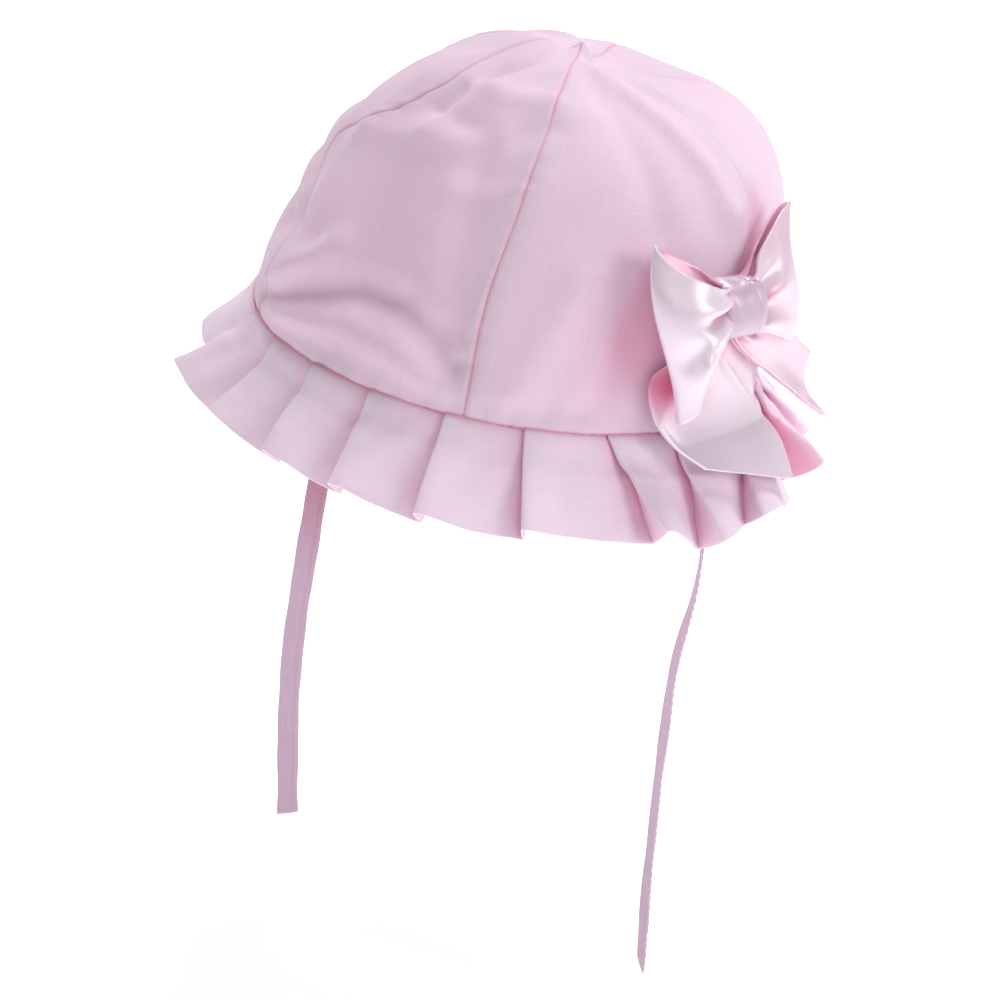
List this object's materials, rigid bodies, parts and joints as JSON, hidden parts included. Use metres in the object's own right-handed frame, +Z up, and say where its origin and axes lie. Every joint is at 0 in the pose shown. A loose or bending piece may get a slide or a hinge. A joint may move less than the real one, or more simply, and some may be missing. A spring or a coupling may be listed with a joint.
{
  "type": "baby sun bonnet",
  "caption": "Gored cotton baby sun bonnet with a knife-pleated frill brim, a satin ribbon bow on the wearer's left side and two narrow flat ties that hang free.",
  "frame": {"origin": "centre of the head opening, level with the seam between crown and brim; the head sits here", "axes": "+Z up along the bonnet, -Y to the wearer's front, +X to the wearer's left, where the bow is"},
  "size_m": [0.1904, 0.1876, 0.2741],
  "materials": {
    "cotton": "pale pink woven cotton",
    "satin": "pale pink satin ribbon"
  },
  "bodies": {
    "root": {"crown_gore_1": "cotton", "crown_gore_2": "cotton", "crown_gore_3": "cotton", "crown_gore_4": "cotton", "crown_gore_5": "cotton", "crown_gore_6": "cotton", "brim": "cotton", "bow_loop_front": "satin", "bow_loop_back": "satin", "bow_knot": "satin", "bow_tail_front": "satin", "bow_tail_back": "satin", "tie_left": "cotton", "tie_right": "cotton"}
  },
  "joints": []
}
